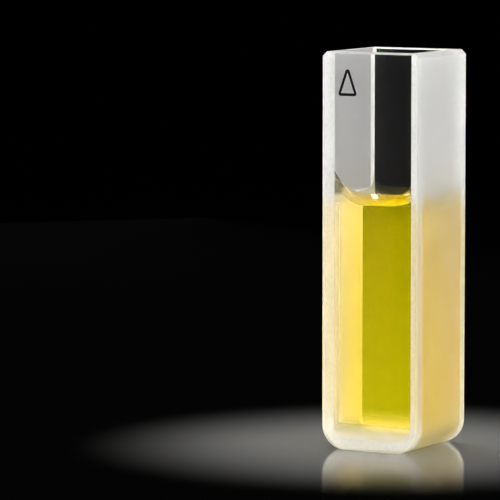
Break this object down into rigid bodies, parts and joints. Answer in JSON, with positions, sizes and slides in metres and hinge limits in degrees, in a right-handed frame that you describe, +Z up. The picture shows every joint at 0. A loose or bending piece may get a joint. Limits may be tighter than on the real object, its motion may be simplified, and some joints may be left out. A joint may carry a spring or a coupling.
{
  "type": "cuvette",
  "caption": "Square quartz cuvette with clear windows front and back, frosted side walls, rounded foot corners and an open top, part filled with a yellow liquid.",
  "frame": {"origin": "middle of the foot, on the surface that the cell stands on", "axes": "+Z up towards the open mouth, Y along the light path through the two clear windows with the marked window facing -Y, X across from one frosted side wall to the other"},
  "size_m": [0.0126, 0.0126, 0.0465],
  "materials": {
    "polished_quartz": "polished clear fused quartz",
    "ground_quartz": "fused quartz, ground to a fine frosting outside and polished inside",
    "yellow_sample": "clear yellow liquid"
  },
  "bodies": {
    "root": {"u_frame": "ground_quartz", "front_window": "polished_quartz", "back_window": "polished_quartz", "sample": "yellow_sample"}
  },
  "joints": []
}
